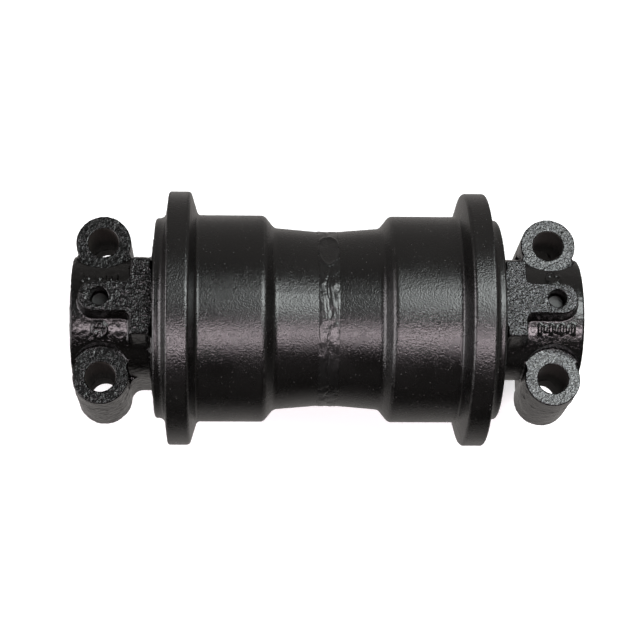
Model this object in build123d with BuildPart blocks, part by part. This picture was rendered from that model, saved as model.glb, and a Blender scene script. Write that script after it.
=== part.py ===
from build123d import *
from math import sqrt
import os

# Track roller of a tracked excavator, in millimetres. The shaft axis is X and the origin is the
# middle of the shaft. The collars bolt to the track frame with their -Z faces, and the bolt heads
# sit on the +Z side. Pieces are drawn for the +X end, and the -X end is their mirror image, apart
# from the collar, which is the same casting turned half a turn about Z.

# ---- shell, outside ----
flange_radius = 95.0
flange_outer_x = 117.7
flange_root_outer_x = 120.4
flange_inner_x = 101.6
flange_root_inner_x = 96.3
flange_inner_round = 3.0
flange_outer_round = 1.8
flange_inner_root_round = 3.0
flange_outer_root_round = 5.0
tread_radius = 77.5
shoulder_top_x = 46.8
shoulder_foot_x = 39.4
shoulder_round = 5.5
neck_radius = 68.2
neck_radius_at_weld = 65.5
hub_radius = 75.0
hub_edge_round = 2.3
shell_end_x = 127.7
edge_break = 1.0

# ---- weld between the halves ----
weld_half_width = 7.6
weld_root_radius = 53.0
weld_crown_radius = 66.1

# ---- shell, inside ----
reservoir_radius = 42.0
spigot_radius = 46.0
spigot_length = 4.0
spigot_clearance = 0.1
spigot_end_gap = 0.3

# ---- shaft and bushings ----
shaft_radius = 30.0
shaft_half_length = 186.0
shaft_chamfer = 2.0
running_clearance = 0.05
location_clearance = 0.02
bushing_outer_radius = 36.0
bushing_bore_start_x = 46.0
bushing_inner_x = 48.0
bushing_flange_back_x = 93.0
bushing_flange_face_x = 99.0
bushing_flange_radius = 44.0
bushing_lead_chamfer = 1.5
bushing_recess_radius = 44.5
oil_groove_width = 4.0
oil_groove_depth = 1.0
face_groove_count = 4
face_groove_length = 11.0
bore_groove_count = 2
end_play = 0.3

# ---- face seals: two metal rings meet at the seal plane, each on its own rubber toric ring ----
seal_plane_x = 112.0
seal_film = 0.05
seal_ring_bore_radius = 39.5
seal_ring_length = 10.0
seal_head_radius = 46.5
seal_head_length = 2.0
seal_ramp_front_radius = 45.3
seal_ramp_back_radius = 43.1
seal_ramp_end = 8.8
seal_lip_start = 9.4
seal_lip_radius = 43.9
seal_housing_radius = 52.7
seal_housing_depth = 11.5
toric_centre_radius = 48.4
toric_centre_depth = 6.3
toric_section_radius = 4.25

# ---- labyrinth between the collar disc and the shell end ----
disc_radius = 60.0
disc_back_x = 129.5
labyrinth_gap = 1.2
labyrinth_face_gap = 1.0

# ---- collar casting ----
collar_end_x = 188.6
collar_radius = 45.7
collar_neck_round = 3.5
collar_end_round = 2.0
nose_radius = 37.5
mount_face_z = -43.0
bolt_x = 166.5
bolt_y = 51.5
bolt_hole_radius = 11.0
bolt_hole_chamfer = 0.8
chamfer_angle = 45.0
boss_radius = 20.5
short_foot_x = 147.5
foot_web_round = 8.0
seat_web_round = 5.0
web_inset = 0.25
web_length = 33.0
seat_z = 23.7
seat_cutter_radius = 23.2

# ---- raised land of the collar ----
land_z = 59.1
land_foot_z = 22.0
land_draft = 5.0
strip_inner_x = 131.6
strip_outer_x = 144.2
strip_half_width = 28.8
tongue_end_x = 181.7
tongue_half_width = 11.4
pocket_round = 5.0
strip_corner_round = 1.5
land_edge_round = 0.9
land_groove_z = 56.5

# ---- casting marks: plain bars and dots on the barrel, and a bar in a sunk field on the land ----
mark_height = 1.2
mark_foot_z = 35.0
bar_count = 7
bar_pitch = 4.1
bar_width = 1.9
bar_long = 7.2
bar_short = 4.2
bar_row_x = 167.5
bar_row_y = -19.0
dot_radius = 1.2
dot_pitch = 4.6
dot_count = 2
ring_radius = 5.6
ring_width = 1.1
ring_y = 21.0
datum_bar_length = 7.5
datum_bar_width = 2.2
datum_bar_x = 138.6
datum_margin = 1.4

# ---- lock pin ----
pin_radius = 6.5
pin_top_z = 46.0
pin_foot_z = 14.0
pin_foot_gap = 0.5
pin_chamfer = 1.0

# ---- shaft O-ring ----
o_ring_x = 136.0
o_ring_groove_width = 4.0
o_ring_groove_radius = 27.1
o_ring_section_radius = 1.45

# ---- oil filling ----
drilling_radius = 4.0
drilling_end_x = 8.0
cross_drilling_radius = 3.5
plug_recess_radius = 12.0
plug_recess_depth = 6.5
plug_thread_radius = 7.0
plug_thread_depth = 24.0
plug_head_radius = 11.5
plug_head_length = 4.5
plug_shank_length = 15.0
plug_socket_radius = 4.6
plug_socket_depth = 6.0
plug_ring_length = 1.5
plug_ring_bore_radius = 7.2
hexagon_sides = 6

os.makedirs("parts", exist_ok=True)


def finish_piece(piece, label):
    """Label a finished piece and write it to its own STEP file."""
    piece.part.label = label
    export_step(piece.part, f"parts/{label}.step")


def round_corners(profile, corners):
    """Round the corners of a profile, each given as (x, r, rounding radius)."""
    for x, r, rounding in corners:
        fillet(profile.vertices().sort_by_distance((x, r))[0], radius=rounding)


def turned(outline, corners=()):
    """A body of revolution about the shaft axis from its (x, r) outline."""
    with BuildPart() as piece:
        with BuildSketch(Plane.XZ) as profile:
            with BuildLine():
                Polyline(*outline, close=True)
            make_face()
            round_corners(profile, corners)
        revolve(axis=Axis.X)
    return piece


def mirrored(piece):
    """The same piece for the other end of the roller."""
    with BuildPart() as other:
        mirror(piece.part, about=Plane.YZ)
    return other


def shell_half(joint_outline):
    """One forged half: the joint outline runs from the reservoir wall to the weld root."""
    labyrinth_radius = disc_radius + labyrinth_gap
    housing_back_x = seal_plane_x - seal_housing_depth
    outline = [
        *joint_outline,
        (weld_half_width, neck_radius_at_weld),
        (shoulder_foot_x, neck_radius),
        (shoulder_top_x, tread_radius),
        (flange_root_inner_x, tread_radius),
        (flange_inner_x, flange_radius),
        (flange_outer_x, flange_radius),
        (flange_root_outer_x, hub_radius),
        (shell_end_x, hub_radius),
        (shell_end_x, labyrinth_radius),
        (seal_plane_x, labyrinth_radius),
        (seal_plane_x, seal_housing_radius),
        (housing_back_x, seal_housing_radius),
        (housing_back_x, bushing_recess_radius),
        (bushing_flange_back_x, bushing_recess_radius),
        (bushing_flange_back_x, bushing_outer_radius),
        (bushing_bore_start_x, bushing_outer_radius),
        (bushing_bore_start_x, reservoir_radius),
    ]
    corners = [
        (shoulder_foot_x, neck_radius, shoulder_round),
        (shoulder_top_x, tread_radius, shoulder_round),
        (flange_root_inner_x, tread_radius, flange_inner_root_round),
        (flange_inner_x, flange_radius, flange_inner_round),
        (flange_outer_x, flange_radius, flange_outer_round),
        (flange_root_outer_x, hub_radius, flange_outer_root_round),
        (shell_end_x, hub_radius, hub_edge_round),
        (shell_end_x, labyrinth_radius, edge_break),
        (seal_plane_x, labyrinth_radius, edge_break),
        (housing_back_x, seal_housing_radius, edge_break),
        (bushing_bore_start_x, reservoir_radius, edge_break),
    ]
    return turned(outline, corners)


def make_shell():
    """Two halves that meet at X = 0, one with a spigot and one with its recess, and the weld."""
    spigot_joint = [
        (-spigot_length, reservoir_radius),
        (-spigot_length, spigot_radius),
        (0, spigot_radius),
        (0, weld_root_radius),
    ]
    recess_radius = spigot_radius + spigot_clearance
    recess_depth = spigot_length + spigot_end_gap
    recess_joint = [
        (recess_depth, reservoir_radius),
        (recess_depth, recess_radius),
        (0, recess_radius),
        (0, weld_root_radius),
    ]
    finish_piece(shell_half(spigot_joint), "shell_half_right")
    finish_piece(mirrored(shell_half(recess_joint)), "shell_half_left")

    with BuildPart() as weld_bead:
        with BuildSketch(Plane.XZ):
            with BuildLine():
                Line((-weld_half_width, neck_radius_at_weld), (0, weld_root_radius))
                Line((0, weld_root_radius), (weld_half_width, neck_radius_at_weld))
                ThreePointArc(
                    (weld_half_width, neck_radius_at_weld),
                    (0, weld_crown_radius),
                    (-weld_half_width, neck_radius_at_weld),
                )
            make_face()
        revolve(axis=Axis.X)
    finish_piece(weld_bead, "weld_bead")


def make_bushings():
    """Flanged plain bushings, with oil grooves along the bore and across the thrust face."""
    bore_radius = shaft_radius + running_clearance
    length = bushing_flange_face_x - bushing_inner_x
    with BuildPart() as bushing:
        with BuildSketch(Plane.XZ) as profile:
            with BuildLine():
                Polyline(
                    (bushing_inner_x, bore_radius),
                    (bushing_inner_x, bushing_outer_radius),
                    (bushing_flange_back_x, bushing_outer_radius),
                    (bushing_flange_back_x, bushing_flange_radius),
                    (bushing_flange_face_x, bushing_flange_radius),
                    (bushing_flange_face_x, bore_radius),
                    close=True,
                )
            make_face()
            lead = profile.vertices().sort_by_distance((bushing_inner_x, bushing_outer_radius))[0]
            chamfer(lead, length=bushing_lead_chamfer)
        revolve(axis=Axis.X)
        with BuildSketch(Plane.YZ.offset(bushing_flange_face_x)):
            with PolarLocations(shaft_radius + face_groove_length / 2, face_groove_count):
                Rectangle(face_groove_length, oil_groove_width)
        extrude(amount=-oil_groove_depth, mode=Mode.SUBTRACT)
        with BuildSketch(Plane.YZ.offset(bushing_inner_x)):
            with PolarLocations(bore_radius, bore_groove_count):
                Rectangle(2 * oil_groove_depth, oil_groove_width)
        extrude(amount=length, mode=Mode.SUBTRACT)
    finish_piece(bushing, "bushing_right")
    finish_piece(mirrored(bushing), "bushing_left")


def seal_ring(side):
    """A metal face seal ring. side is -1 for the turning ring and +1 for the fixed ring."""
    def at(depth, r):
        return (seal_plane_x + side * (depth + seal_film), r)

    return turned(
        [
            at(0, seal_ring_bore_radius),
            at(0, seal_head_radius),
            at(seal_head_length, seal_head_radius),
            at(seal_head_length, seal_ramp_front_radius),
            at(seal_ramp_end, seal_ramp_back_radius),
            at(seal_lip_start, seal_lip_radius),
            at(seal_ring_length, seal_lip_radius),
            at(seal_ring_length, seal_ring_bore_radius),
        ]
    )


def toric_ring(centre_x, centre_radius, section_radius):
    """A rubber ring of round section about the shaft axis."""
    with BuildPart() as ring:
        with BuildSketch(Plane.XZ):
            with Locations((centre_x, centre_radius)):
                Circle(section_radius)
        revolve(axis=Axis.X)
    return ring


def make_seals():
    """At each end, a turning and a fixed seal ring with their torics, and the shaft O-ring."""
    for name, side in (("turning", -1), ("fixed", 1)):
        metal = seal_ring(side)
        finish_piece(metal, f"seal_ring_{name}_right")
        finish_piece(mirrored(metal), f"seal_ring_{name}_left")
        toric_x = seal_plane_x + side * toric_centre_depth
        toric = toric_ring(toric_x, toric_centre_radius, toric_section_radius)
        finish_piece(toric, f"seal_toric_{name}_right")
        finish_piece(mirrored(toric), f"seal_toric_{name}_left")

    o_ring = toric_ring(o_ring_x, o_ring_groove_radius + o_ring_section_radius, o_ring_section_radius)
    finish_piece(o_ring, "shaft_o_ring_right")
    finish_piece(mirrored(o_ring), "shaft_o_ring_left")


def make_shaft():
    """Straight ground shaft, drilled from the -X end for oil and from above for the lock pins."""
    with BuildPart() as shaft:
        Cylinder(shaft_radius, 2 * shaft_half_length, rotation=(0, 90, 0))
        chamfer(shaft.edges().filter_by(GeomType.CIRCLE), length=shaft_chamfer)
        for x in (-o_ring_x, o_ring_x):
            with BuildSketch(Plane.YZ.offset(x)):
                Circle(shaft_radius)
                Circle(o_ring_groove_radius, mode=Mode.SUBTRACT)
            extrude(amount=o_ring_groove_width / 2, both=True, mode=Mode.SUBTRACT)
        with BuildSketch(Plane.YZ.offset(-shaft_half_length)):
            Circle(drilling_radius)
        extrude(amount=shaft_half_length + drilling_end_x, mode=Mode.SUBTRACT)
        with BuildSketch(Plane.YZ.offset(-shaft_half_length)):
            Circle(plug_thread_radius)
        extrude(amount=plug_thread_depth, mode=Mode.SUBTRACT)
        with BuildSketch(Plane.YZ.offset(-shaft_half_length)):
            Circle(plug_recess_radius)
        extrude(amount=plug_recess_depth, mode=Mode.SUBTRACT)
        with BuildSketch(Plane.XY):
            Circle(cross_drilling_radius)
        extrude(amount=shaft_radius, both=True, mode=Mode.SUBTRACT)
        with BuildSketch(Plane.XY.offset(pin_foot_z - pin_foot_gap)):
            with Locations((-bolt_x, 0), (bolt_x, 0)):
                Circle(pin_radius + location_clearance)
        extrude(amount=shaft_radius, mode=Mode.SUBTRACT)
    finish_piece(shaft, "shaft")


def casting_marks():
    """Plain raised bars and a ring of dots on the round floor of the pockets."""
    with BuildPart() as marks:
        with BuildSketch(Plane.XY.offset(mark_foot_z)):
            for index in range(bar_count):
                x = bar_row_x + (index - (bar_count - 1) / 2) * bar_pitch
                length = bar_short if index % 2 else bar_long
                with Locations((x, bar_row_y)):
                    SlotOverall(length, bar_width, rotation=90)
            with Locations((bolt_x, ring_y)):
                Circle(ring_radius)
                Circle(ring_radius - ring_width, mode=Mode.SUBTRACT)
                with GridLocations(dot_pitch, dot_pitch, dot_count, dot_count):
                    Circle(dot_radius)
        extrude(amount=land_z - mark_foot_z)
        with BuildSketch(Plane.YZ.offset(disc_back_x)):
            Circle(collar_radius + mark_height)
        extrude(amount=collar_end_x - disc_back_x, mode=Mode.INTERSECT)
    return marks


def datum_field():
    """The sunk field in the land that leaves the datum bar standing in it."""
    with BuildPart() as field:
        with BuildSketch(Plane.XY.offset(land_z)):
            with Locations((datum_bar_x, 0)):
                SlotOverall(datum_bar_length + 2 * datum_margin, datum_bar_width + 2 * datum_margin)
                SlotOverall(datum_bar_length, datum_bar_width, mode=Mode.SUBTRACT)
        extrude(amount=-mark_height)
    return field


def raised_land():
    """The machined land: a strip across the collar and a round-ended tongue along it."""
    with BuildPart() as land:
        with BuildSketch(Plane.XY.offset(land_z)) as outline:
            with Locations(((strip_inner_x + strip_outer_x) / 2, 0)):
                Rectangle(strip_outer_x - strip_inner_x, 2 * strip_half_width)
            tongue_round_x = tongue_end_x - tongue_half_width
            with Locations(((strip_inner_x + tongue_round_x) / 2, 0)):
                Rectangle(tongue_round_x - strip_inner_x, 2 * tongue_half_width)
            inner_corners = [
                outline.vertices().sort_by_distance((strip_outer_x, y))[0]
                for y in (-tongue_half_width, tongue_half_width)
            ]
            fillet(inner_corners, radius=pocket_round)
            outer_corners = [
                outline.vertices().sort_by_distance((x, y))[0]
                for x in (strip_inner_x, strip_outer_x)
                for y in (-strip_half_width, strip_half_width)
            ]
            fillet(outer_corners, radius=strip_corner_round)
            with Locations((tongue_round_x, 0)):
                Circle(tongue_half_width)
        extrude(amount=land_foot_z - land_z, taper=-land_draft)
        fillet(land.faces().sort_by(Axis.Z)[-1].edges(), radius=land_edge_round)
        with BuildSketch(Plane.XY.offset(land_groove_z)):
            with Locations(((disc_back_x + strip_outer_x) / 2, 0)):
                Rectangle(strip_outer_x - disc_back_x, 2 * strip_half_width)
        extrude(amount=land_foot_z - land_groove_z)
    return land


def bolt_circles(radius):
    """A circle at each of the collar's two bolt positions, for the sketch in hand."""
    with Locations((bolt_x, -bolt_y), (bolt_x, bolt_y)):
        Circle(radius)


def collar_body():
    """Round barrel, flat foot and two bolt bosses. The foot reaches the disc on the +Y side only."""
    web_y = sqrt(collar_radius**2 - seat_z**2) - web_inset
    web_x = bolt_x - sqrt(boss_radius**2 - (bolt_y - web_y) ** 2)
    with BuildPart() as body:
        with BuildSketch(Plane.YZ.offset(disc_back_x)):
            Circle(collar_radius)
        extrude(amount=collar_end_x - disc_back_x)
        with BuildSketch(Plane.XY.offset(mount_face_z)) as foot:
            with BuildLine():
                Polyline(
                    (disc_back_x, 0),
                    (disc_back_x, collar_radius),
                    (collar_end_x, collar_radius),
                    (collar_end_x, -collar_radius),
                    (short_foot_x, -collar_radius),
                    (short_foot_x, 0),
                    close=True,
                )
            make_face()
            bolt_circles(boss_radius)
            round_corners(foot, [(bolt_x - boss_radius, collar_radius, foot_web_round)])
        extrude(amount=-mount_face_z)
        split(bisect_by=Plane.XY.offset(mount_face_z), keep=Keep.TOP)
        fillet(body.faces().sort_by(Axis.X)[-1].edges(), radius=collar_end_round)
        with BuildSketch(Plane.XY) as upper:
            with Locations((bolt_x - web_length / 2, 0)):
                Rectangle(web_length, 2 * web_y)
            bolt_circles(boss_radius)
            round_corners(upper, [(web_x, y, seat_web_round) for y in (-web_y, web_y)])
        extrude(amount=seat_z)
    return body


def collar_disc():
    """Disc that closes the shell end, its seal housing, and the nose that carries end thrust."""
    disc_face_x = seal_plane_x + labyrinth_face_gap
    housing_back_x = seal_plane_x + seal_housing_depth
    nose_end_x = bushing_flange_face_x + end_play
    neck_end_x = disc_back_x + 2 * collar_neck_round
    outline = [
        (nose_end_x, 0),
        (nose_end_x, nose_radius),
        (housing_back_x, nose_radius),
        (housing_back_x, seal_housing_radius),
        (disc_face_x, seal_housing_radius),
        (disc_face_x, disc_radius),
        (disc_back_x, disc_radius),
        (disc_back_x, collar_radius),
        (neck_end_x, collar_radius),
        (neck_end_x, 0),
    ]
    corners = [
        (disc_back_x, collar_radius, collar_neck_round),
        (disc_back_x, disc_radius, edge_break),
        (disc_face_x, disc_radius, edge_break),
        (housing_back_x, seal_housing_radius, edge_break),
    ]
    return turned(outline, corners)


def make_collars():
    """The cast end collar: bosses, barrel, disc, land and marks, then its machined holes."""
    with BuildPart() as collar:
        add(collar_body().part)
        add(raised_land().part)
        add(casting_marks().part)
        add(collar_disc().part)
        add(datum_field().part, mode=Mode.SUBTRACT)
        with BuildSketch(Plane.XY.offset(seat_z)):
            bolt_circles(seat_cutter_radius)
        extrude(amount=land_z, mode=Mode.SUBTRACT)
        with BuildSketch(Plane.XY.offset(mount_face_z)):
            bolt_circles(bolt_hole_radius)
        extrude(amount=seat_z - mount_face_z, mode=Mode.SUBTRACT)
        with BuildSketch(Plane.YZ.offset(seal_plane_x)):
            Circle(shaft_radius + location_clearance)
        extrude(amount=collar_end_x - seal_plane_x, both=True, mode=Mode.SUBTRACT)
        with BuildSketch(Plane.XY):
            with Locations((bolt_x, 0)):
                Circle(pin_radius + location_clearance)
        extrude(amount=land_z, mode=Mode.SUBTRACT)
        with BuildSketch(Plane.XY.offset(seat_z)):
            bolt_circles(bolt_hole_radius + bolt_hole_chamfer)
        extrude(amount=-bolt_hole_chamfer, taper=chamfer_angle, mode=Mode.SUBTRACT)
    finish_piece(collar, "collar_right")

    with BuildPart() as collar_left:
        add(collar.part, rotation=(0, 0, 180))
    finish_piece(collar_left, "collar_left")


def make_lock_pins():
    """Straight pins that stop the shaft turning in the collars and coming out of them."""
    length = pin_top_z - pin_foot_z
    for name, x in (("left", -bolt_x), ("right", bolt_x)):
        with BuildPart() as lock_pin:
            with Locations((x, 0, pin_foot_z + length / 2)):
                Cylinder(pin_radius, length)
            chamfer(lock_pin.edges().filter_by(GeomType.CIRCLE), length=pin_chamfer)
        finish_piece(lock_pin, f"lock_pin_{name}")


def make_oil_plug():
    """Hexagon socket plug and its flat sealing ring, in the recess of the -X shaft end."""
    ring_x = plug_recess_depth - shaft_half_length
    head_x = ring_x - plug_ring_length
    with BuildPart() as oil_plug:
        with BuildSketch(Plane.YZ.offset(head_x)):
            Circle(plug_head_radius)
        extrude(amount=-plug_head_length)
        chamfer(oil_plug.faces().sort_by(Axis.X)[0].edges(), length=edge_break)
        with BuildSketch(Plane.YZ.offset(head_x)):
            Circle(plug_thread_radius - location_clearance)
        extrude(amount=plug_shank_length)
        chamfer(oil_plug.faces().sort_by(Axis.X)[-1].edges(), length=edge_break)
        with BuildSketch(Plane.YZ.offset(head_x - plug_head_length)):
            RegularPolygon(plug_socket_radius, hexagon_sides)
        extrude(amount=plug_socket_depth, mode=Mode.SUBTRACT)
    finish_piece(oil_plug, "oil_plug")

    with BuildPart() as plug_seal_ring:
        with BuildSketch(Plane.YZ.offset(head_x)):
            Circle(plug_head_radius)
            Circle(plug_ring_bore_radius, mode=Mode.SUBTRACT)
        extrude(amount=plug_ring_length)
    finish_piece(plug_seal_ring, "plug_seal_ring")


make_shell()
make_bushings()
make_seals()
make_shaft()
make_collars()
make_lock_pins()
make_oil_plug()
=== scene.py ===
# %% [markdown]
# # A track roller, from CAD frame to finished look
#
# A track roller carries part of an excavator's weight on the inside of its track. Two forged shell
# halves are welded together round a bronze-bushed shaft, and a cast collar at each end bolts the
# roller to the track frame. The new part is sprayed satin black all over.
#
# The CAD pieces are the fixed frame of this scene. Pieces whose shape is already right keep it and
# get a finish. The weld bead and the two castings have a surface that CAD doesn't draw, so they are
# made again here, inside the space that the CAD gives them.

# %% Load the CAD pieces
import bpy
import numpy as np
from mathutils import Matrix, Vector


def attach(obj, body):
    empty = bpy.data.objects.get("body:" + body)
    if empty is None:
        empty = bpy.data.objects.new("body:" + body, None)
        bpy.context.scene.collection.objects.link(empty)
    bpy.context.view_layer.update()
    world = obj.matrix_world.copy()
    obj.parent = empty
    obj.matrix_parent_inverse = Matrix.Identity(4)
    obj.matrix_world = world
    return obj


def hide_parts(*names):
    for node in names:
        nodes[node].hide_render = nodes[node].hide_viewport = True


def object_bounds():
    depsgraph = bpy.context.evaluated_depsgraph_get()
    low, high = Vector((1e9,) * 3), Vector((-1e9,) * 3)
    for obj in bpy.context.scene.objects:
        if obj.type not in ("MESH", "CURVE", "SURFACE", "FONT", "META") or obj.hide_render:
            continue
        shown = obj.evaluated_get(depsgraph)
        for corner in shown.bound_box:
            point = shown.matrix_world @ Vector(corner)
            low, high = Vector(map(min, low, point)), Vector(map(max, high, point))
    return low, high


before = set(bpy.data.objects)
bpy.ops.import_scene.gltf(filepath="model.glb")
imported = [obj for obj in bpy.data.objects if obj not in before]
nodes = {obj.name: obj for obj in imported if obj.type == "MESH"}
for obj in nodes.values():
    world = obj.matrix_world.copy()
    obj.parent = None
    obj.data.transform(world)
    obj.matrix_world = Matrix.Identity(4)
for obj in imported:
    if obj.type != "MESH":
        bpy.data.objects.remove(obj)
cad_box = [list(corner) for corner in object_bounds()]
MM = 0.001
print("pieces:", len(nodes), "box in mm:", [[round(v / MM, 1) for v in corner] for corner in cad_box])

# %% [markdown]
# ## Looking down on the roller
#
# The roller lies on its flanges, and the camera looks down on it, leaning back a little so that the
# lower bolt bosses show their sides. A long lens from a metre and a half keeps the perspective mild.
# The camera's turn is four small turns one after another, each about one axis.

# %% Camera
LENS, SENSOR = 110.57, 36.0
LEAN, YAW, PITCH, ROLL = 0.27646, -0.04062, -0.00077, 0.00598
REACH, SIDE_STEP = 1.47925, -0.06451

camera_data = bpy.data.cameras.new("camera")
camera_data.lens, camera_data.sensor_width = LENS, SENSOR
camera_data.sensor_fit = "HORIZONTAL"
camera = bpy.data.objects.new("camera", camera_data)
turn = (Matrix.Rotation(LEAN, 4, "X") @ Matrix.Rotation(ROLL, 4, "Z")
        @ Matrix.Rotation(PITCH, 4, "X") @ Matrix.Rotation(YAW, 4, "Y"))
place = Vector((SIDE_STEP, -REACH * np.sin(LEAN), REACH * np.cos(LEAN)))
camera.matrix_world = Matrix.Translation(place) @ turn
bpy.context.scene.collection.objects.link(camera)
bpy.context.scene.camera = camera
print("camera at", [round(v, 3) for v in place])

# %% [markdown]
# ## A pale floor
#
# The floor is one square sheet under the flanges: a matt, nearly white light table. Its own soft glow
# keeps the shadows thin, and it grows further out, where no light box reaches, so that the floor runs
# into the backdrop without a horizon. Glossy paint would mirror a floor this bright all along its
# lower half, so the floor is kept out of reflections, and the dome's paler underside stands in for it.


# %% Helper for meshes
def mesh_object(name, points, quads):
    """A new smooth mesh object from arrays of points and of quads, placed in its mesh."""
    mesh = bpy.data.meshes.new(name)
    mesh.from_pydata(points.tolist(), [], quads.tolist())
    mesh.polygons.foreach_set("use_smooth", np.full(len(mesh.polygons), True))
    mesh.update()
    made = bpy.data.objects.new(name, mesh)
    bpy.context.scene.collection.objects.link(made)
    return made


print("a mesh is placed in its points, so its object stays at the origin")


# %% Helpers for shader nodes
def put(tree, kind, options=None, **values):
    """One shader node. Values are its inputs by name: numbers, colours, or other nodes' sockets."""
    made = tree.nodes.new(kind)
    for name, value in (options or {}).items():
        setattr(made, name, value)
    for name, value in values.items():
        plug_in(tree, value, made.inputs[name.replace("_", " ")])
    return made


def plug_in(tree, value, socket):
    """Link a socket to another node's output, or set it to a constant."""
    if isinstance(value, bpy.types.NodeSocket):
        tree.links.new(value, socket)
    else:
        socket.default_value = value


print("a node's input takes a number, a colour or another node's output")


# %% Helpers for masks and colours
def ramp(tree, value, low, high, at_low=0.0, at_high=1.0):
    """The value moved smoothly from the range low..high to at_low..at_high, and held there."""
    made = put(tree, "ShaderNodeMapRange", {"interpolation_type": "SMOOTHSTEP"}, Value=value,
               From_Min=low, From_Max=high, To_Min=at_low, To_Max=at_high)
    return made.outputs["Result"]


def tint(tree, mask, first, second):
    """A colour between first and second, by the mask; returns its output."""
    made = tree.nodes.new("ShaderNodeMix")
    made.data_type = "RGBA"
    for index, value in ((0, mask), (6, first), (7, second)):
        plug_in(tree, value, made.inputs[index])
    return made.outputs[2]


def grey(level, warm=0.0):
    """A grey colour, a little red where warm is above zero and a little blue below it."""
    return (level * (1 + warm), level, level * (1 - warm), 1.0)


def noise(tree, place, size, detail=3.0):
    """Noise with features of the given size in metres; returns its 0..1 output."""
    made = put(tree, "ShaderNodeTexNoise", Vector=place, Scale=1.0 / size, Detail=detail,
               Roughness=0.55)
    return made.outputs["Fac"]


print("grey:", grey(0.5), "warm grey:", grey(0.5, 0.1))

# %% Floor
FLOOR_HALF, NEAR_GLOW, FAR_GLOW, GLOW_GROWS = 6.0, 0.42, 0.93, (1.2, 4.0)
floor_z = cad_box[0][2]
corners = np.array([(-1, -1), (1, -1), (1, 1), (-1, 1)]) * FLOOR_HALF
floor = mesh_object("floor", np.column_stack([corners, np.full(4, floor_z)]), np.array([[0, 1, 2, 3]]))
floor_finish = bpy.data.materials.new("pale_floor")
floor_finish.use_nodes = True
tree = floor_finish.node_tree
spot = put(tree, "ShaderNodeTexCoord").outputs["Object"]
shader = tree.nodes["Principled BSDF"]
plug_in(tree, tint(tree, noise(tree, spot, 0.3), grey(0.84), grey(0.9)), shader.inputs["Base Color"])
how_far = put(tree, "ShaderNodeVectorMath", {"operation": "LENGTH"}, Vector=spot).outputs["Value"]
glow = tint(tree, ramp(tree, how_far, *GLOW_GROWS), grey(NEAR_GLOW), grey(FAR_GLOW))
plug_in(tree, glow, shader.inputs["Emission Color"])
shader.inputs["Emission Strength"].default_value = 1.0
shader.inputs["Roughness"].default_value = 0.9
shader.inputs["Specular IOR Level"].default_value = 0.1
floor.data.materials.append(floor_finish)
floor.visible_glossy = False
print("floor at", round(floor_z / MM, 1), "mm")

# %% [markdown]
# ## Soft light from four boxes and a dome
#
# Gloss shows the lights themselves, so they decide how the black paint reads. A long narrow box with
# a faint pink cast hangs in front and becomes the pink band on the treads. A wide, weak and cooler box
# straight above gives them their green-grey top. A strong box to the right catches the flat top of the
# right casting, and one far to the left lights the flanks that lean that way. Round it all is a nearly
# black dome, paler underneath, behind, at both ends and low in front, which gives the rims their soft
# grey edges.

# %% Lights
BOX_REACH = 2.1


def soft_box(name, lean, aside, size, colour, radiance):
    """A soft box facing the roller. Its centre leans from overhead towards -Y, then aside towards -X,
    in degrees; size is how wide it looks from the roller along X and across, in degrees."""
    data = bpy.data.lights.new(name, "AREA")
    data.shape = "RECTANGLE"
    data.size, data.size_y = (2 * BOX_REACH * np.tan(np.radians(angle / 2)) for angle in size)
    data.color = colour
    data.energy = radiance * np.pi * data.size * data.size_y
    made = bpy.data.objects.new(name, data)
    turned = Matrix.Rotation(np.radians(lean), 4, "X") @ Matrix.Rotation(-np.radians(aside), 4, "Y")
    made.matrix_world = turned @ Matrix.Translation((0, 0, BOX_REACH))
    bpy.context.scene.collection.objects.link(made)


soft_box("warm_box", lean=35.0, aside=-4.0, size=(52, 11), colour=(1.0, 0.87, 0.92), radiance=13.0)
soft_box("cool_box", lean=-5.0, aside=0.0, size=(48, 38), colour=(0.97, 1.0, 0.99), radiance=0.4)
soft_box("right_box", lean=-8.0, aside=-27.0, size=(39, 30), colour=(0.95, 1.0, 0.99), radiance=9.0)
soft_box("side_box", lean=24.0, aside=66.0, size=(38, 56), colour=(1.0, 0.95, 0.98), radiance=5.5)
print("soft boxes:", [light.name for light in bpy.data.lights])



# %% Dome
def maths(tree, operation, *values):
    """A Math node; returns its output."""
    made = tree.nodes.new("ShaderNodeMath")
    made.operation = operation
    for socket, value in zip(made.inputs, values):
        plug_in(tree, value, socket)
    return made.outputs[0]


DOME_DARK, DOME_SEEN = 0.016, 0.95
DOME_BELOW, DOME_BEHIND, DOME_ENDS, DOME_FRONT = 0.38, 0.3, 0.28, 0.12
GREEN_SHARE, BLUE_SHARE = 0.95, 0.92

world = bpy.data.worlds.new("studio")
world.use_nodes = True
bpy.context.scene.world = world
tree = world.node_tree
heading = put(tree, "ShaderNodeTexCoord").outputs["Generated"]
parts = put(tree, "ShaderNodeSeparateXYZ", Vector=heading)
below = maths(tree, "MULTIPLY", ramp(tree, parts.outputs["Z"], -0.5, -0.85), DOME_BELOW)
behind = maths(tree, "MULTIPLY", ramp(tree, parts.outputs["Y"], 0.35, 0.9), DOME_BEHIND)
endwards = maths(tree, "ABSOLUTE", parts.outputs["X"])
ends = maths(tree, "MULTIPLY", ramp(tree, endwards, 0.7, 0.98), DOME_ENDS)
front = maths(tree, "MULTIPLY", ramp(tree, parts.outputs["Y"], -0.93, -1.0), DOME_FRONT)
pale = maths(tree, "ADD", maths(tree, "ADD", below, behind), maths(tree, "ADD", ends, front))
red = maths(tree, "ADD", pale, DOME_DARK)
green, blue = (maths(tree, "MULTIPLY", red, share) for share in (GREEN_SHARE, BLUE_SHARE))
dome = put(tree, "ShaderNodeCombineColor", Red=red, Green=green, Blue=blue).outputs[0]
seen = put(tree, "ShaderNodeLightPath").outputs["Is Camera Ray"]
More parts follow.
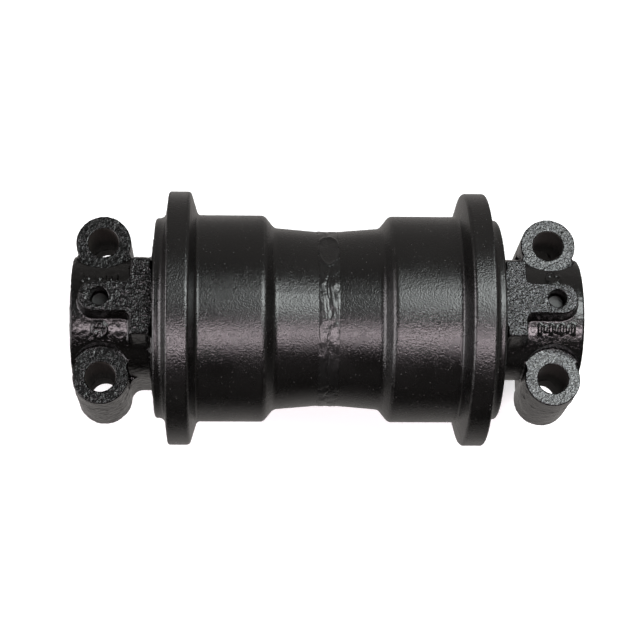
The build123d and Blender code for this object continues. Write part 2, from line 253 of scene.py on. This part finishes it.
plug_in(tree, tint(tree, seen, dome, grey(DOME_SEEN)), tree.nodes["Background"].inputs["Color"])
bpy.context.scene.view_settings.view_transform = "Standard"
print("dome:", world.name)

# %% [markdown]
# ## Paint effects as node groups
#
# Sprayed paint is never quite smooth. It has a fine orange peel, specks of dust under the film, and
# a cloudiness in its gloss. A sand casting under the same paint has a coarse skin of lumps and small
# pits. The paint also thins out along an edge, such as a flange's, and there its colour is lighter,
# partly thin paint and partly a painted highlight; a group that knows how far a point is from a ring
# finds it. Most of these are used more than once, so each is a node group with its own inputs.


# %% Group: sprayed film
def new_group(name, inputs, outputs):
    """A shader node group with float inputs {name: default}, a vector input Place, and outputs."""
    group = bpy.data.node_groups.new(name, "ShaderNodeTree")
    group.interface.new_socket("Place", in_out="INPUT", socket_type="NodeSocketVector")
    for label, value in inputs.items():
        socket = group.interface.new_socket(label, in_out="INPUT", socket_type="NodeSocketFloat")
        socket.default_value = value
    for label in outputs:
        group.interface.new_socket(label, in_out="OUTPUT", socket_type="NodeSocketFloat")
    return group, group.nodes.new("NodeGroupInput").outputs, group.nodes.new("NodeGroupOutput").inputs


def sized_noise(tree, place, size, detail):
    """Noise whose feature size in metres is a socket; returns its output."""
    scale = maths(tree, "DIVIDE", 1.0, size)
    return put(tree, "ShaderNodeTexNoise", Vector=place, Scale=scale, Detail=detail).outputs["Fac"]


film, film_in, film_out = new_group("sprayed_film", {"Peel Size": 0.0012, "Speck Spacing": 0.004},
                                    ("Height", "Specks", "Cloud"))
peel = sized_noise(film, film_in["Place"], film_in["Peel Size"], 1.0)
cells = put(film, "ShaderNodeTexVoronoi", Vector=film_in["Place"],
            Scale=maths(film, "DIVIDE", 1.0, film_in["Speck Spacing"]))
specks = ramp(film, cells.outputs["Distance"], 0.11, 0.05)
height = maths(film, "MULTIPLY_ADD", specks, 0.7, peel)
plug_in(film, height, film_out["Height"])
plug_in(film, specks, film_out["Specks"])
plug_in(film, noise(film, film_in["Place"], 0.03, 4.0), film_out["Cloud"])
print("group:", film.name)

# %% Group: cast skin
skin, skin_in, skin_out = new_group("cast_skin", {"Grain Size": 0.002}, ("Height", "Pits"))
lumps = sized_noise(skin, skin_in["Place"], skin_in["Grain Size"], 1.0)
creases = maths(skin, "ABSOLUTE", maths(skin, "SUBTRACT", lumps, 0.5))
pits = ramp(skin, creases, 0.05, 0.0)
plug_in(skin, maths(skin, "MULTIPLY_ADD", pits, -0.25, lumps), skin_out["Height"])
plug_in(skin, pits, skin_out["Pits"])
print("group:", skin.name)


# %% Group: distance from a ring edge
def hypot(tree, first, second):
    """How far from zero a point with these two coordinates is: the root of their squares' sum."""
    squares = [maths(tree, "POWER", value, 2.0) for value in (first, second)]
    return maths(tree, "SQRT", maths(tree, "ADD", *squares))


def use_group(tree, group, **values):
    """Place a node group in a material, with its own values."""
    made = tree.nodes.new("ShaderNodeGroup")
    made.node_tree = group
    for name, value in values.items():
        plug_in(tree, value, made.inputs[name.replace("_", " ")])
    return made.outputs


EDGE_PLACE = {"Across": 0.1, "Radius": 0.1, "Width": 0.001}
ring, ring_in, ring_out = new_group("ring_edge", EDGE_PLACE, ("Mask",))
parts = put(ring, "ShaderNodeSeparateXYZ", Vector=ring_in["Place"])
across = maths(ring, "SUBTRACT", maths(ring, "ABSOLUTE", parts.outputs["X"]), ring_in["Across"])
off_axis = hypot(ring, parts.outputs["Y"], parts.outputs["Z"])
away = hypot(ring, across, maths(ring, "SUBTRACT", off_axis, ring_in["Radius"]))
wander = noise(ring, ring_in["Place"], 0.004)
away = maths(ring, "DIVIDE", away, ring_in["Width"])
plug_in(ring, ramp(ring, maths(ring, "ADD", away, wander), 1.1, 0.5), ring_out["Mask"])
print("group:", ring.name)

# %% [markdown]
# ## The shell's satin black
#
# The paint on the shell is black with a low sheen. Its colour is nearly nothing, so almost all that
# the eye gets is gloss: the film's fine peel breaks the soft boxes into a grain, the gloss drifts
# from place to place, and along the flange edges the paint is thin and its colour a little lighter,
# which is also a painted highlight.


# %% Shell finish
def painted(name, colour, roughness):
    """A material with the roughness, and its tree, shader, and Object coordinates."""
    made = bpy.data.materials.new(name)
    made.use_nodes = True
    shader = made.node_tree.nodes["Principled BSDF"]
    shader.inputs["Base Color"].default_value = colour
    shader.inputs["Roughness"].default_value = roughness
    place = put(made.node_tree, "ShaderNodeTexCoord").outputs["Object"]
    return made, made.node_tree, shader, place


def bump(tree, shader, height, depth):
    """Bump of the given depth in metres."""
    made = put(tree, "ShaderNodeBump", Height=height, Distance=depth, Strength=1.0)
    tree.links.new(made.outputs["Normal"], shader.inputs["Normal"])


FLANGE_EDGES = ((0.1016, 0.095), (0.1177, 0.095), (0.0468, 0.0775))  # across and radius, in metres
EDGE_WIDTH = 0.0016
shell_paint, tree, shader, spot = painted("shell_paint", grey(0.003), 0.3)
film_made = use_group(tree, film, Place=spot, Peel_Size=0.00115, Speck_Spacing=0.0036)
# Along these edges the colour is lighter: thin paint, and a painted highlight.
worn_and_edge_highlight = 0.0
for across_at, radius_at in FLANGE_EDGES:
    edge = use_group(tree, ring, Place=spot, Across=across_at, Radius=radius_at, Width=EDGE_WIDTH)["Mask"]
    worn_and_edge_highlight = maths(tree, "MAXIMUM", worn_and_edge_highlight, edge)
base = tint(tree, film_made["Cloud"], grey(0.0008, 0.15), grey(0.002, 0.1))
base = tint(tree, film_made["Specks"], base, grey(0.06, 0.05))
plug_in(tree, tint(tree, worn_and_edge_highlight, base, grey(0.02, 0.04)), shader.inputs["Base Color"])
gloss = ramp(tree, film_made["Cloud"], 0.25, 0.75, 0.23, 0.31)
plug_in(tree, gloss, shader.inputs["Roughness"])
shader.inputs["Specular IOR Level"].default_value = 0.6
bump(tree, shader, film_made["Height"], 0.00026)
print("finish:", shell_paint.name)

# %% Weld finish
weld_paint, tree, shader, spot = painted("weld_paint", grey(0.004), 0.25)
film_made = use_group(tree, film, Place=spot, Peel_Size=0.0015, Speck_Spacing=0.005)
plug_in(tree, tint(tree, film_made["Cloud"], grey(0.001, 0.1), grey(0.002)), shader.inputs["Base Color"])
plug_in(tree, ramp(tree, film_made["Cloud"], 0.25, 0.75, 0.24, 0.36), shader.inputs["Roughness"])
shader.inputs["Specular IOR Level"].default_value = 0.7
bump(tree, shader, film_made["Height"], 0.0002)
print("finish:", weld_paint.name)

# %% [markdown]
# ## The castings' paint
#
# The collars wear the same black over a sand-cast skin. Their flat tops were blasted or machined
# before painting, so there the film sparkles with a sharp grain, while the sides and pockets keep the
# soft lumps of the sand. On the right casting the tops' colour also has light grey flecks, partly
# blasted grain and partly painted glints. The bolt holes were left rough, so they are matt inside,
# and a group masks them. The left casting came out of a coarser mould than the right one.


# %% Group: inside of a bolt hole
HOLE_PLACE = {"Across": 0.1665, "Aside": 0.0515, "Radius": 0.0121, "Rim": 0.0232}
bolt_hole, hole_in, hole_out = new_group("bolt_hole", HOLE_PLACE, ("Mask",))
parts = put(bolt_hole, "ShaderNodeSeparateXYZ", Vector=hole_in["Place"])
across = maths(bolt_hole, "SUBTRACT", maths(bolt_hole, "ABSOLUTE", parts.outputs["X"]), hole_in["Across"])
aside = maths(bolt_hole, "SUBTRACT", maths(bolt_hole, "ABSOLUTE", parts.outputs["Y"]), hole_in["Aside"])
within = maths(bolt_hole, "LESS_THAN", hypot(bolt_hole, across, aside), hole_in["Radius"])
under = maths(bolt_hole, "LESS_THAN", parts.outputs["Z"], hole_in["Rim"])
plug_in(bolt_hole, maths(bolt_hole, "MULTIPLY", within, under), hole_out["Mask"])
print("group:", bolt_hole.name)


# %% Casting finish
SEAT_LEVEL, SEAT_BAND, LAND_STARTS, LAND_SURE = 0.0237, 0.001, 0.0578, 0.0584
LEANING, LEVEL = 0.86, 0.97


def casting_finish(name, grain, lump_depth, top_grain, top_depth, seat_share, gloss, sheen, grain_and_glint_grey):
    """Black paint on cast iron. The skin has lumps of size grain and the flat tops of size top_grain,
    with bumps of lump_depth and top_depth, all in metres. The bolt seats get seat_share of the top's
    depth. gloss is the roughness where the skin is smoothest, sheen the strength of its reflection,
    and the last argument is the colour of the light flecks on the tops: blasted grain, and painted
    glints. A top is a place that points up, at the level of the seats or of the land."""
    made, tree, shader, spot = painted(name, grey(0.001), 0.3)
    shader.inputs["Specular IOR Level"].default_value = sheen
    film_made = use_group(tree, film, Place=spot, Peel_Size=0.001, Speck_Spacing=0.003)
    skin_made = use_group(tree, skin, Place=spot, Grain_Size=grain)
    top_made = use_group(tree, skin, Place=spot, Grain_Size=top_grain)
    hole = use_group(tree, bolt_hole, Place=spot)["Mask"]
    facing = put(tree, "ShaderNodeTexCoord").outputs["Normal"]
    up = put(tree, "ShaderNodeSeparateXYZ", Vector=facing).outputs["Z"]
    level = put(tree, "ShaderNodeSeparateXYZ", Vector=spot).outputs["Z"]
    off_seat = maths(tree, "ABSOLUTE", maths(tree, "SUBTRACT", level, SEAT_LEVEL))
    on_seat = maths(tree, "LESS_THAN", off_seat, SEAT_BAND)
    flat = maths(tree, "MAXIMUM", on_seat, ramp(tree, level, LAND_STARTS, LAND_SURE))
    top = maths(tree, "MULTIPLY", ramp(tree, up, LEANING, LEVEL), flat)
    share = ramp(tree, level, 0.03, 0.05, seat_share, 1.0)
    grit = noise(tree, spot, top_grain * 0.8, 1.0)
    base = tint(tree, skin_made["Pits"], grey(0.0015, 0.1), grey(0.0005, 0.2))
    base = tint(tree, film_made["Specks"], base, grey(0.03))
    # Light grey flecks on the tops: partly blasted grain, partly painted glints.
    blasted_grain_and_glints = tint(tree, ramp(tree, grit, 0.48, 0.66), grey(0.001), grey(grain_and_glint_grey, -0.06))
    base = tint(tree, top, base, blasted_grain_and_glints)
    plug_in(tree, tint(tree, hole, base, grey(0.007, 0.4)), shader.inputs["Base Color"])
    rough = ramp(tree, film_made["Cloud"], 0.25, 0.75, gloss, gloss + 0.1)
    plug_in(tree, maths(tree, "MULTIPLY_ADD", hole, 0.6, rough), shader.inputs["Roughness"])
    lumps = maths(tree, "MULTIPLY", skin_made["Height"], lump_depth / top_depth)
    grit_relief = maths(tree, "MULTIPLY", top_made["Height"], maths(tree, "MULTIPLY", top, share))
    bump(tree, shader, maths(tree, "ADD", lumps, grit_relief), top_depth)
    return made


CASTING_PAINT = {
    "left": casting_finish("collar_paint_left", grain=0.0035, lump_depth=0.0002, top_grain=0.0032,
                           top_depth=0.0022, seat_share=0.25, gloss=0.14, sheen=0.42, grain_and_glint_grey=0.002),
    "right": casting_finish("collar_paint_right", grain=0.0025, lump_depth=0.00015, top_grain=0.0019,
                            top_depth=0.0011, seat_share=0.4, gloss=0.17, sheen=0.65, grain_and_glint_grey=0.08),
}
print("finishes:", [finish.name for finish in CASTING_PAINT.values()])

# %% [markdown]
# ## The weld bead
#
# The halves are joined by submerged-arc welding while the shell turns, so the bead is a ring with
# ripples across it, a wandering crease where two passes meet, ragged toes, and one oval crater where
# the arc stopped. A ripple is a shape in a material's eye, but toes and a crater change the outline,
# so the bead is a new surface: radius as a function of the angle round the shaft and the place across.


# %% Seeded waves
def waves(points, size, seed, count=28):
    """Smooth random bumps with unit spread: a sum of cosines with random headings and phases, each
    about size long. points is (N, 3) and size in the same unit."""
    dice = np.random.default_rng(seed)
    heading = dice.normal(size=(count, 3))
    heading /= np.linalg.norm(heading, axis=1, keepdims=True)
    length = size * dice.uniform(0.75, 1.35, count)
    phase = dice.uniform(0, 2 * np.pi, count)
    angle = points @ (2 * np.pi * heading / length[:, None]).T + phase
    return np.cos(angle).sum(axis=1) * np.sqrt(2 / count)


def bell(value, width):
    """1 at zero, falling smoothly to nothing a couple of widths away."""
    return np.exp(-(value / width) ** 2)


slanted = np.linspace(0, 400, 4000)[:, None] * (1.0, 0.7, 0.4)
print("spread of the waves:", waves(slanted, 9.0, 0).std().round(2))

# %% Bead surface
BEAD_STEPS, BEAD_ACROSS = 1040, 47
TOE_HALF_WIDTH, TOE_RADIUS, NECK_SLOPE = 8.0, 65.5, 0.085
BEAD_SINK, BEAD_CROWN = 0.3, 0.95
RIPPLE_PITCH, RIPPLE_HEIGHT, CREASE_DEPTH, CREASE_WIDTH = 3.1, 0.012, 0.3, 0.6
CRATER_ANGLE, CRATER_HALF_LENGTH, CRATER_HALF_WIDTH = np.radians(36.0), 16.5, 7.3
CRATER_DEPTH, RIM_HEIGHT, RIM_WIDTH = 1.6, 0.6, 0.12
ROOT_RADIUS, ROOT_HALF_WIDTH, ROOT_SIDE_RADIUS = 53.4, 5.0, 61.4


def weld_surface():
    """Radius over angle and place across: a low crown that falls to toes just under the shell, plus
    ripples every 3 mm that bend back at the sides, a crease, lumps, and a crater with a rim. All mm."""
    angle = np.linspace(0, 2 * np.pi, BEAD_STEPS, endpoint=False)[:, None]
    across = np.linspace(-1, 1, BEAD_ACROSS)[None, :]
    round_path = TOE_RADIUS * np.hstack([np.zeros_like(angle), np.sin(angle), np.cos(angle)])
    toes = [TOE_HALF_WIDTH + 0.32 * waves(round_path, 9.0, seed) + 0.16 * waves(round_path, 3.0, seed + 5)
            for seed in (3, 4)]
    x = across * np.where(across < 0, toes[0][:, None], toes[1][:, None])
    on_ring = np.stack([x, *(np.broadcast_to(part[:, None], x.shape) for part in round_path.T[1:])], -1)
    flat = on_ring.reshape(-1, 3)
    streaks = flat * (1, 0.3, 0.3)
    lumps = 0.08 * waves(flat, 9.0, 7) + 0.07 * waves(streaks, 3.4, 8) + 0.035 * waves(streaks, 1.8, 9)
    lumps = lumps.reshape(x.shape)
    drift = 2.0 * waves(round_path, 26.0, 10)[:, None]
    stroke = TOE_RADIUS * angle + 2.4 * across**2 + drift
    ripple = RIPPLE_HEIGHT * np.cos(2 * np.pi * stroke / RIPPLE_PITCH)
    crease_x = 1.1 * waves(round_path, 30.0, 11)[:, None] + 0.4 * waves(round_path, 7.0, 12)[:, None]
    crease = -CREASE_DEPTH * bell(x - crease_x, CREASE_WIDTH)
    along = TOE_RADIUS * ((angle - CRATER_ANGLE + np.pi) % (2 * np.pi) - np.pi)
    reach = np.sqrt((x / CRATER_HALF_WIDTH) ** 2 + (along / CRATER_HALF_LENGTH) ** 2)
    rim = RIM_HEIGHT * bell(reach - 1.02, RIM_WIDTH)
    bowl = rim - CRATER_DEPTH * np.clip(1 - reach**2, 0, None) ** 0.7
    calm = np.clip(reach, 0.15, 1.0)
    crown = BEAD_CROWN * (1 - across**2) ** 0.6
    toe = TOE_RADIUS + NECK_SLOPE * (np.abs(x) - TOE_HALF_WIDTH) - BEAD_SINK
    fade = np.clip((1 - np.abs(across)) * 6, 0, 1)
    return x, angle, toe + crown + fade * (calm * (lumps + ripple + crease) + bowl)


x, angle, radius = weld_surface()
print("bead surface:", x.shape, "points, radius", radius.min().round(2), "to", radius.max().round(2), "mm")


# %% Bead mesh
def ring_quads(rows, columns):
    """The quads of a grid of rows times columns points that closes on itself both ways."""
    index = np.arange(rows * columns).reshape(rows, columns)
    index = np.vstack([index, index[:1]])
    index = np.hstack([index, index[:, :1]])
    corners = (index[:-1, :-1], index[:-1, 1:], index[1:, 1:], index[1:, :-1])
    return np.stack([corner.ravel() for corner in corners], axis=1)


root_x = np.array([ROOT_HALF_WIDTH, 0, -ROOT_HALF_WIDTH]) * np.ones_like(angle)
root_radius = np.array([ROOT_SIDE_RADIUS, ROOT_RADIUS, ROOT_SIDE_RADIUS]) * np.ones_like(angle)
x, radius = np.hstack([x, root_x]), np.hstack([radius, root_radius])
points = np.stack([x, radius * np.sin(angle), radius * np.cos(angle)], axis=-1) * MM
bead = mesh_object("weld_bead_rippled", points.reshape(-1, 3), ring_quads(*x.shape))
bead.data.materials.append(weld_paint)
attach(bead, "roller")
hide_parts("weld_bead")
print("bead:", len(bead.data.polygons), "quads")

# %% [markdown]
# ## The two castings
#
# A sand casting has no perfectly flat wall and no sharp edge. Each collar is the CAD piece remade from
# small even cells, pulled back onto the CAD surface, and then pushed in and out along its own normals:
# lumps on the walls, finer grain on the blasted tops, a ragged seam at the mould's parting plane, and
# flash inside the cored bolt holes. The narrow strip between the land and the shell is filled nearly
# to the land, as sand castings are in tight corners. Bores and sealing faces stay as machined.

# %% Even cells
CELL = 1.07 * MM


def even_cells(node):
    """A copy of a CAD node with its doubles merged, remade from even cells and pulled back to it."""
    made = bpy.data.objects.new(node.name + "_cast", node.data.copy())
    bpy.context.scene.collection.objects.link(made)
    weld = made.modifiers.new("weld", "WELD")
    weld.merge_threshold = 0.005 * MM
    cells = made.modifiers.new("cells", "REMESH")
    cells.mode, cells.voxel_size, cells.use_smooth_shade = "VOXEL", CELL, True
    pull = made.modifiers.new("pull", "SHRINKWRAP")
    pull.target, pull.wrap_method = node, "NEAREST_SURFACEPOINT"
    shape = made.evaluated_get(bpy.context.evaluated_depsgraph_get())
    mesh = bpy.data.meshes.new_from_object(shape)
    made.modifiers.clear()
    made.data = mesh
    return made


def gather(rows, label):
    """A property of three numbers of each of a mesh's rows as an (N, 3) array."""
    values = np.zeros(len(rows) * 3)
    rows.foreach_get(label, values)
    return values.reshape(-1, 3)


CASTINGS = {side: even_cells(nodes["collar_" + side]) for side in ("left", "right")}
print("cells of", round(CELL / MM, 2), "mm:", [len(made.data.polygons) for made in CASTINGS.values()])

# %% Lumps, grain and parting seam
BOLT_X, BOLT_Y, HOLE_RADIUS, SHELL_END, BORE = 166.5, 51.5, 11.0, 128.6, 31.5
SHRINK, DEEPEST, PROUDEST = 0.12, -0.6, 0.3
SEAM_HEIGHT, SEAM_WIDTH = 0.6, 0.9
HEAVE = {"left": 0.1, "right": 0.05}


def cast_heave(spots, normals, side):
    """How far in mm each point moves along its normal: minus a little everywhere, so that the skin
    stays inside the CAD box, plus lumps on walls, grain on tops and the parting seam. What is machined
    and the bolt holes stay where they are."""
    sign, seed = (-1, 40) if side == "left" else (1, 60)
    across = spots[:, 0] * sign
    off_axis = np.hypot(spots[:, 1], spots[:, 2])
    machined = (across < SHELL_END) | (off_axis < BORE)
    top = np.clip((normals[:, 2] - 0.9) / 0.08, 0, 1)
    wall = 1 - top
    lumps = HEAVE[side] * (0.6 * waves(spots, 11.0, seed) + 0.5 * waves(spots, 4.5, seed + 1))
    grain = HEAVE[side] * (0.5 * waves(spots, 4.6, seed + 2) + 0.6 * waves(spots, 3.0, seed + 3))
    flat_side = np.clip(1 - np.abs(normals[:, 2]) / 0.3, 0, 1)
    seam_z = 0.5 * waves(spots, 14.0, seed + 4)
    ragged = np.clip(0.35 + 0.3 * waves(spots, 5.0, seed + 5), 0, None)
    seam = SEAM_HEIGHT * ragged * bell(spots[:, 2] - seam_z, SEAM_WIDTH) * flat_side
    heave = -SHRINK + wall * (lumps + seam) + (top + 0.6 * wall) * grain
    in_hole = np.hypot(across - BOLT_X, np.abs(spots[:, 1]) - BOLT_Y) < HOLE_RADIUS + 1
    return np.where(machined | in_hole, 0.0, np.clip(heave, DEEPEST, PROUDEST))


print("lumps in mm:", HEAVE)

# %% Flash in the bolt holes
SEAT_Z, FLASH_Z = 23.7, -24.0


def hole_flash(spots, side):
    """How far in mm each point of the bolt holes' walls moves towards the hole's axis: a ragged ring
    of flash where the two core halves met."""
    sign, seed = (-1, 80) if side == "left" else (1, 90)
    from_axis = np.stack([spots[:, 0] - sign * BOLT_X, np.abs(spots[:, 1]) - BOLT_Y], axis=1)
    out = np.linalg.norm(from_axis, axis=1)
    in_hole = bell(out - HOLE_RADIUS, 0.7) * (spots[:, 2] < SEAT_Z - 3)
    level = FLASH_Z + 2.0 * waves(spots * (1, 1, 0), 24.0, seed)
    teeth = np.clip(0.5 + 0.6 * waves(spots * (1, 1, 0), 8.0, seed + 1), 0, 1.6)
    inward = in_hole * teeth * bell(spots[:, 2] - level, 1.5)
    towards = -from_axis / out[:, None]
    towards[:, 1] *= np.sign(spots[:, 1])
    return np.column_stack([inward[:, None] * towards, np.zeros(len(spots))])


print("flash about", FLASH_Z - SEAT_Z, "mm from the bolt seats")

# %% The strip beside the land
LAND_Z, LAND_EDGE, STRIP_HALF, STRIP_FLOOR, STRIP_RISE = 59.1, 132.0, 28.9, 54.0, 2.4


def close_strip(spots):
    """The strip between land and shell raised nearly to the land: what lies above the strip's floor
    goes up by its own height over that floor, at most by the strip's rise."""
    across, level = np.abs(spots[:, 0]), spots[:, 2]
    strip = (across > SHELL_END - 0.5) & (across < LAND_EDGE) & (np.abs(spots[:, 1]) < STRIP_HALF)
    raised = level + STRIP_RISE * np.clip((level - STRIP_FLOOR) / STRIP_RISE, 0, 1)
    spots[:, 2] = np.where(strip & (level > STRIP_FLOOR), np.minimum(raised, LAND_Z - 0.2), level)


print("strip from", SHELL_END, "to", LAND_EDGE, "mm along the axis")

# %% Castings
for side, casting in CASTINGS.items():
    spots = gather(casting.data.vertices, "co") / MM
    normals = gather(casting.data.vertex_normals, "vector")
    moved = spots + cast_heave(spots, normals, side)[:, None] * normals + hole_flash(spots, side)
    close_strip(moved)
    limit = cad_box[1][0] / MM
    moved[:, 0] = np.clip(moved[:, 0], -limit, limit)
    casting.data.vertices.foreach_set("co", (moved * MM).ravel())
    casting.data.polygons.foreach_set("use_smooth", np.full(len(casting.data.polygons), True))
    casting.data.update()
    casting.data.materials.clear()
    casting.data.materials.append(CASTING_PAINT[side])
    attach(casting, "carrier")
    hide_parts("collar_" + side)
    print(casting.name, len(casting.data.polygons), "quads")


# %% [markdown]
# ## Steel, bronze, iron, copper and rubber
#
# The inner pieces are turned or ground, so each shows rings round the roller's axis: a noise that only
# knows the place along the axis and the distance from it. The ends of the shaft, the pins and the plug
# caught some of the black spray. The rubber rings are matt with a faint mould grain.


# %% Group: turning marks
marks, marks_in, marks_out = new_group("turning_marks", {"Pitch": 0.0005}, ("Height", "Stain"))
parts = put(marks, "ShaderNodeSeparateXYZ", Vector=marks_in["Place"])
off_axis = hypot(marks, parts.outputs["Y"], parts.outputs["Z"])
section = put(marks, "ShaderNodeCombineXYZ", X=parts.outputs["X"], Y=off_axis).outputs[0]
plug_in(marks, sized_noise(marks, section, marks_in["Pitch"], 3.0), marks_out["Height"])
plug_in(marks, noise(marks, marks_in["Place"], 0.012, 5.0), marks_out["Stain"])
print("group:", marks.name)


# %% Turned metal
def turned(name, colour, stained, roughness, pitch):
    """A bare metal with stains and with turning marks, whose pitch is in metres."""
    made, tree, shader, spot = painted(name, colour, roughness)
    marks_made = use_group(tree, marks, Place=spot, Pitch=pitch)
    base = tint(tree, ramp(tree, marks_made["Stain"], 0.45, 0.7), colour, stained)
    plug_in(tree, base, shader.inputs["Base Color"])
    shader.inputs["Metallic"].default_value = 1.0
    rough = ramp(tree, marks_made["Stain"], 0.3, 0.7, roughness, roughness + 0.12)
    plug_in(tree, rough, shader.inputs["Roughness"])
    bump(tree, shader, marks_made["Height"], 0.00004)
    return made


print("turned metal has", marks.name)


# %% Overspray
def oversprayed(finish, spray_from):
    """The same metal under black spray beyond spray_from metres along the axis, with a patchy edge."""
    tree = finish.node_tree
    shader = tree.nodes["Principled BSDF"]
    bare = shader.inputs["Base Color"].links[0].from_socket
    spot = put(tree, "ShaderNodeTexCoord").outputs["Object"]
    across = maths(tree, "ABSOLUTE", put(tree, "ShaderNodeSeparateXYZ", Vector=spot).outputs["X"])
    patchy = maths(tree, "MULTIPLY_ADD", noise(tree, spot, 0.006, 4.0), 0.01, spray_from - 0.005)
    spray = ramp(tree, maths(tree, "SUBTRACT", across, patchy), -0.002, 0.002)
    plug_in(tree, tint(tree, spray, bare, grey(0.006, 0.1)), shader.inputs["Base Color"])
    plug_in(tree, maths(tree, "SUBTRACT", 1.0, spray), shader.inputs["Metallic"])
    return finish


print("overspray on the ends of the shaft, pins and plug")


# %% Rubber
def rubber(name):
    """Matt black rubber with a dusty bloom and a fine grain."""
    made, tree, shader, spot = painted(name, grey(0.015), 0.6)
    film_made = use_group(tree, film, Place=spot, Peel_Size=0.0006, Speck_Spacing=0.003)
    dusty = tint(tree, film_made["Cloud"], grey(0.012), grey(0.035, 0.05))
    plug_in(tree, dusty, shader.inputs["Base Color"])
    plug_in(tree, ramp(tree, film_made["Cloud"], 0.3, 0.7, 0.5, 0.7), shader.inputs["Roughness"])
    bump(tree, shader, film_made["Height"], 0.00006)
    return made


print("rubber has the film's grain:", film.name)

# %% Inner finishes
INNER_FINISH = {
    "shaft": oversprayed(turned("ground_steel", grey(0.5), grey(0.34, 0.05), 0.22, 0.0006), 0.15),
    "lock_pin": oversprayed(turned("pin_steel", grey(0.09), grey(0.03), 0.3, 0.0008), 0.15),
    "bushing": turned("bronze", (0.62, 0.43, 0.2, 1), (0.4, 0.25, 0.12, 1), 0.25, 0.0005),
    "seal_ring": turned("lapped_iron", grey(0.42), grey(0.3), 0.15, 0.0003),
    "seal_toric": rubber("seal_rubber"),
    "shaft_o_ring": rubber("o_ring_rubber"),
    "oil_plug": oversprayed(turned("plug_steel", grey(0.3), grey(0.2, 0.1), 0.3, 0.0004), 0.17),
    "plug_seal_ring": turned("copper", (0.6, 0.3, 0.18, 1), (0.35, 0.17, 0.11, 1), 0.25, 0.0003),
}
print("finishes:", list(INNER_FINISH))


# %% Dress the CAD pieces
def wear(piece, finish):
    """Give a piece one finish over all of it."""
    piece.data.materials.clear()
    piece.data.materials.append(finish)


for name, piece in nodes.items():
    if name.startswith("shell_half"):
        wear(piece, shell_paint)
    elif name == "weld_bead":
        wear(piece, weld_paint)
    elif name.startswith("collar"):
        wear(piece, CASTING_PAINT[name.split("_")[1]])
    else:
        wear(piece, next(finish for start, finish in INNER_FINISH.items() if name.startswith(start)))
print("dressed:", {name: piece.data.materials[0].name for name, piece in nodes.items()})

# %% Finish: update the view layer
bpy.context.view_layer.update()
